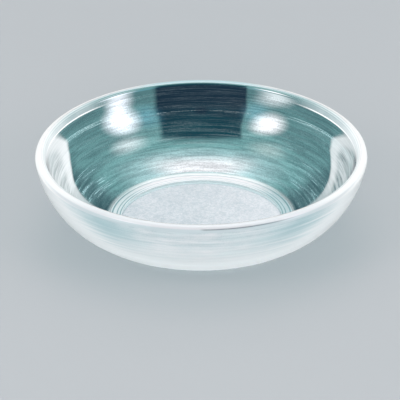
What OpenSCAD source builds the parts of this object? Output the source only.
// Round shallow dish with a thick clear wall, a full-round lip, a low foot ring
// and a thin disc set inside the ring, under the floor.
// Millimetres, +Z up, with the dish open at the top.
// The origin is the centre of the plane the foot rests on.

/* [Bowl] */
// Outside diameter over the widest part of the wall, just under the lip
bowl_d = 180; // [150:1:210]
// Thickness of the wall, which is also the diameter of the round lip
wall_t = 5.6; // [4.6:0.1:6.4]
// Thickness of the flat floor
floor_t = 5.2; // [4:0.1:6]
// Radius of the flat floor, as a share of the outside diameter
floor_share = 0.2795; // [0.26:0.0005:0.29]

/* [Wall curve] */
// Lean of the wall from upright where it leaves the lip, degrees
lip_lean = 10.5; // [8:0.5:14]
// Lean where the upper curve passes into the middle curve, degrees
mid_lean = 35; // [32:1:38]
// Lean where the middle curve passes into the lower curve, degrees
low_lean = 58; // [55:1:60]
// Radius of the upper curve, as a share of the outside diameter
upper_share = 0.309; // [0.29:0.001:0.33]
// Radius of the middle curve, as a share of the outside diameter
middle_share = 0.25; // [0.24:0.001:0.26]
// Radius of the lower curve, as a share of the outside diameter
lower_share = 0.542; // [0.5:0.002:0.6]

/* [Floor lines] */
// Height of the small step down from the wall to the floor
floor_step = 0.4; // [0.2:0.1:0.8]
// Width of the sloping band inside the step
step_w = 2.7; // [2:0.1:4]
// Width of the fine line turned in the floor
line_w = 0.4; // [0.2:0.05:0.6]
// Depth of the fine line turned in the floor
line_deep = 0.15; // [0.05:0.01:0.3]
// Distance from the edge of the floor in to the fine line
line_in = 6.3; // [5:0.1:8]

/* [Lines round the wall] */
// Number of shallow lines round the outside of the wall
wall_lines = 18; // [4:1:20]
// Greatest width of a wall line
wall_line_w = 0.7; // [0.3:0.05:1]
// Greatest depth of a wall line
wall_line_deep = 0.12; // [0.05:0.01:0.2]
// Smooth band left under the lip
lip_band = 3.4; // [2:0.1:6]

/* [Foot ring] */
// Height of the foot ring
foot_h = 2.6; // [1.8:0.1:4]
// Set-back of the foot ring from the edge of the underside
foot_inset = 1.3; // [0.8:0.1:2.5]
// Width of the foot ring where it meets the underside
foot_w = 6.5; // [5:0.1:8]
// How far the outer face of the foot leans in over its height
foot_taper = 1.3; // [0.5:0.1:1.8]
// Rounding of the two lower edges of the foot
foot_round = 0.7; // [0.3:0.1:1]

/* [Base disc] */
// Thickness of the disc
disc_t = 1.2; // [0.8:0.1:1.6]
// Gap between the disc and the foot ring
disc_gap = 0.3; // [0.2:0.1:0.6]
// Chamfer round the lower edge of the disc
disc_chamfer = 0.3; // [0.1:0.1:0.5]

/* [Hidden] */
$fn = 180;

heel_band = 1; // smooth band left above the heel, where the wall meets the underside

// Heights of the two ends of the sloping band, as shares of the floor step
band_low = 0.3;
band_high = 0.5;

// Segments in each arc of the section
lip_steps = 30;
foot_steps = 6;
upper_steps = 16;
middle_steps = 16;
lower_steps = 12;

lip_r = wall_t / 2;
floor_r = floor_share * bowl_d;
floor_z = foot_h + floor_t;

// Radii of the three curves of the outer wall
upper_r = upper_share * bowl_d;
middle_r = middle_share * bowl_d;
lower_r = lower_share * bowl_d;

// All sections are drawn as [radius, height].

// Unit vector square to a wall with this lean, pointing outward and down
function out(lean) = [cos(lean), -sin(lean)];

// Points of an arc, both ends included
function arc(centre, radius, from, to, steps) =
    [for (i = [0 : steps])
        let (a = from + (to - from) * i / steps)
        centre + radius * [cos(a), sin(a)]];

// Centres of the lip and the three curves, with the lip centre at height 0.
// Each curve is tangent to the one above it.
lip_0 = [bowl_d / 2 - lip_r, 0];
upper_0 = lip_0 - (upper_r - lip_r) * out(lip_lean);
middle_0 = upper_0 + (upper_r - middle_r) * out(mid_lean);
lower_0 = middle_0 + (middle_r - lower_r) * out(low_lean);

// Lean and height of the inner wall where it reaches the edge of the floor
edge_lean = acos((floor_r - lower_0[0]) / (lower_r - wall_t));
edge_z0 = lower_0[1] - (lower_r - wall_t) * sin(edge_lean);

// The same centres, lifted so that the foot stands on z = 0
lift = [0, floor_z + floor_step - edge_z0];
lip_c = lip_0 + lift;
upper_c = upper_0 + lift;
middle_c = middle_0 + lift;
lower_c = lower_0 + lift;

// Lean and radius of the outer wall where it reaches the underside
heel_lean = asin((lower_c[1] - foot_h) / lower_r);
heel_r = lower_c[0] + lower_r * cos(heel_lean);

// Radii of the foot ring where it meets the underside
foot_out_r = heel_r - foot_inset;
foot_in_r = foot_out_r - foot_w;

// Lengths along the outer wall: to the end of the upper curve, to the end of
// the middle curve, and to the heel
function arc_length(radius, degrees) = radius * degrees * PI / 180;
upper_end = arc_length(upper_r, mid_lean - lip_lean);
middle_end = upper_end + arc_length(middle_r, low_lean - mid_lean);
wall_len = middle_end + arc_length(lower_r, heel_lean - low_lean);

// Point on one curve, at a length past its start and a depth below its surface
function curve_point(centre, radius, start_lean, length, depth) =
    centre + (radius - depth) * out(start_lean + length / radius * 180 / PI);

// Point on the outer wall at a length down from the lip
function wall_point(length, depth = 0) =
    length < upper_end ? curve_point(upper_c, upper_r, lip_lean, length, depth) :
    length < middle_end ?
        curve_point(middle_c, middle_r, mid_lean, length - upper_end, depth) :
    curve_point(lower_c, lower_r, low_lean, length - middle_end, depth);

// Each wall line has its own cell of the wall. Its place in the cell, its width
// and its depth vary from line to line.
cell = (wall_len - lip_band - heel_band) / wall_lines;
function line_points(i) =
    let (start = lip_band + i * cell,
         middle = start + cell * (0.5 + 0.2 * sin(i * 137.5)),
         width = wall_line_w * (0.75 + 0.25 * cos(i * 97)),
         depth = wall_line_deep * (0.7 + 0.3 * sin(i * 61)),
         near = middle - width / 2,
         far = middle + width / 2)
    [wall_point(start), wall_point((start + near) / 2), wall_point(near),
     wall_point(middle, depth),
     wall_point(far), wall_point((start + cell + far) / 2)];

// Outer wall, from the lip down to the heel
outer_wall = concat(
    [for (i = [1 : 2]) wall_point(lip_band * i / 3)],
    [for (i = [0 : wall_lines - 1]) each line_points(i)],
    [wall_point(wall_len - heel_band), [heel_r, foot_h]]);

// Round lip, from the inside over the top to the outside
lip = arc(lip_c, lip_r, 180 - lip_lean, -lip_lean, lip_steps);

// One curve of the inner wall, without its last point, which starts the next curve
function inner_curve(centre, outer_radius, from, to, steps) =
    [for (i = [0 : steps - 1])
        centre + (outer_radius - wall_t) * out(from + (to - from) * i / steps)];

// Inner wall, from the edge of the floor up to the lip
inner_wall = concat(
    inner_curve(lower_c, lower_r, edge_lean, low_lean, lower_steps),
    inner_curve(middle_c, middle_r, low_lean, mid_lean, middle_steps),
    inner_curve(upper_c, upper_r, mid_lean, lip_lean, upper_steps));

// Floor, from the centre out: flat, fine line, flat, sloping band
line_r = floor_r - line_in;
band_r = floor_r - step_w;
floor_top = [
    [0, floor_z],
    [line_r - line_w / 2, floor_z],
    [line_r, floor_z - line_deep],
    [line_r + line_w / 2, floor_z],
    [band_r, floor_z],
    [band_r + line_w / 2, floor_z + floor_step * band_low],
    [floor_r - line_w, floor_z + floor_step * band_high]];

module bowl_shell() {
    color([0.80, 0.92, 0.93, 0.45])
    rotate_extrude()
    polygon(concat([[0, foot_h]], floor_top, inner_wall, lip, outer_wall));
}

// Ring with an upright inner face and a tapered outer face
module foot_ring() {
    inner_c = [foot_in_r + foot_round, foot_round];
    outer_c = [foot_out_r - foot_taper - foot_round, foot_round];
    color([0.90, 0.95, 0.96, 0.6])
    rotate_extrude()
    polygon(concat(
        [[foot_in_r, foot_h]],
        arc(inner_c, foot_round, 180, 270, foot_steps),
        arc(outer_c, foot_round, 270, 360, foot_steps),
        [[foot_out_r, foot_h]]));
}

// Disc against the underside, within the foot ring
module base_disc() {
    disc_r = foot_in_r - disc_gap;
    color([0.86, 0.90, 0.92, 0.8])
    translate([0, 0, foot_h - disc_t])
    rotate_extrude()
    polygon([
        [0, 0],
        [disc_r - disc_chamfer, 0],
        [disc_r, disc_chamfer],
        [disc_r, disc_t],
        [0, disc_t]]);
}

bowl_shell();
foot_ring();
base_disc();
